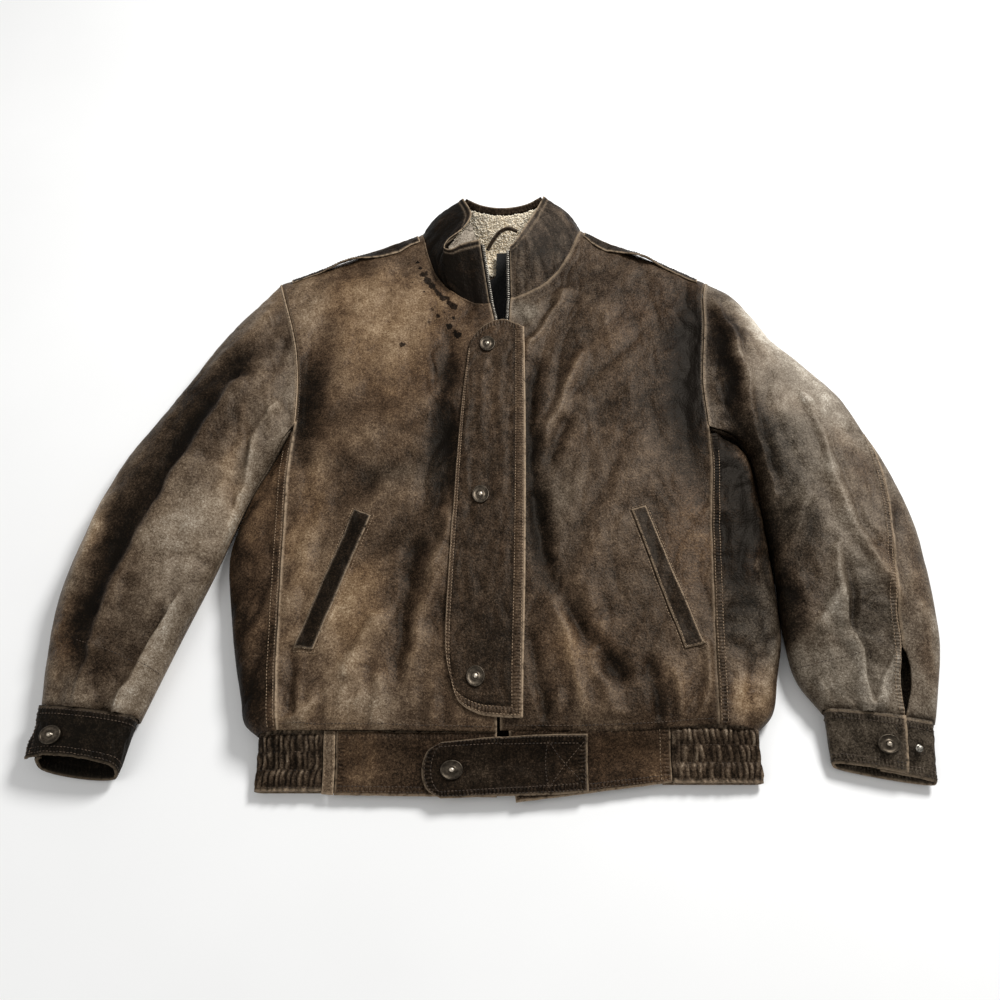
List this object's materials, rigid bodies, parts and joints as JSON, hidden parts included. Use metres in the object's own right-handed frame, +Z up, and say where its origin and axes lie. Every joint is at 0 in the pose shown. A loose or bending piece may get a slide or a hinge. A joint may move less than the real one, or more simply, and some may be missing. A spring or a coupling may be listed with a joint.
{
  "type": "worn leather blouson jacket",
  "caption": "Worn brown leather blouson jacket laid flat, front up: snapped storm flap over a zip, stand collar, welt pockets, shoulder straps, elastic waistband.",
  "frame": {"origin": "middle of the jacket's outline, on the surface it lies on", "axes": "+Z up from the surface, front of the jacket up; +Y towards the collar; +X towards the wearer's left sleeve"},
  "size_m": [0.9099, 0.76, 0.0613],
  "materials": {
    "leather_body": "worn, mottled dark brown with tan patches, soft sheen",
    "leather_sleeve": "worn grey-brown with lighter patches",
    "leather_trim": "worn lighter brown, vertical creases",
    "leather_dark": "near-black brown, stitched edges",
    "leather_tan": "tan, rubbed",
    "leather_facing": "silver grey-brown, smooth",
    "fleece": "cream pile",
    "woven_cloth": "black woven tape",
    "bronze": "dark bronze, rubbed rims",
    "zip_metal": "dull metal"
  },
  "bodies": {
    "root": {"front_right": "leather_body", "front_left": "leather_body", "side_panel_right": "leather_body", "side_panel_left": "leather_body", "back_panel": "leather_body", "collar_back": "leather_body", "waistband_right": "leather_body", "waistband_left": "leather_body", "waistband_back": "leather_body", "sleeve_upper_right": "leather_sleeve", "sleeve_upper_left": "leather_sleeve", "sleeve_under_right": "leather_sleeve", "sleeve_under_left": "leather_sleeve", "storm_flap": "leather_trim", "shoulder_strap_right": "leather_trim", "shoulder_strap_left": "leather_trim", "collar_right": "leather_dark", "collar_left": "leather_dark", "collar_edge_strip": "leather_dark", "cuff_right": "leather_dark", "cuff_left": "leather_dark", "elastic_right": "leather_dark", "elastic_left": "leather_dark", "waist_tab": "leather_dark", "pocket_welt_right": "leather_dark", "pocket_welt_left": "leather_dark", "hanger_loop": "leather_dark", "join_strip_right": "leather_tan", "collar_facing": "leather_facing", "neck_fleece": "fleece", "neck_label": "woven_cloth", "zip_tape_right": "woven_cloth", "zip_tape_left": "woven_cloth", "snap_flap_top": "bronze", "snap_flap_middle": "bronze", "snap_flap_bottom": "bronze", "snap_waist": "bronze", "snap_cuff_right": "bronze", "snap_cuff_left": "bronze", "zip_slider": "zip_metal", "stud_cuff_left": "zip_metal"}
  },
  "joints": []
}
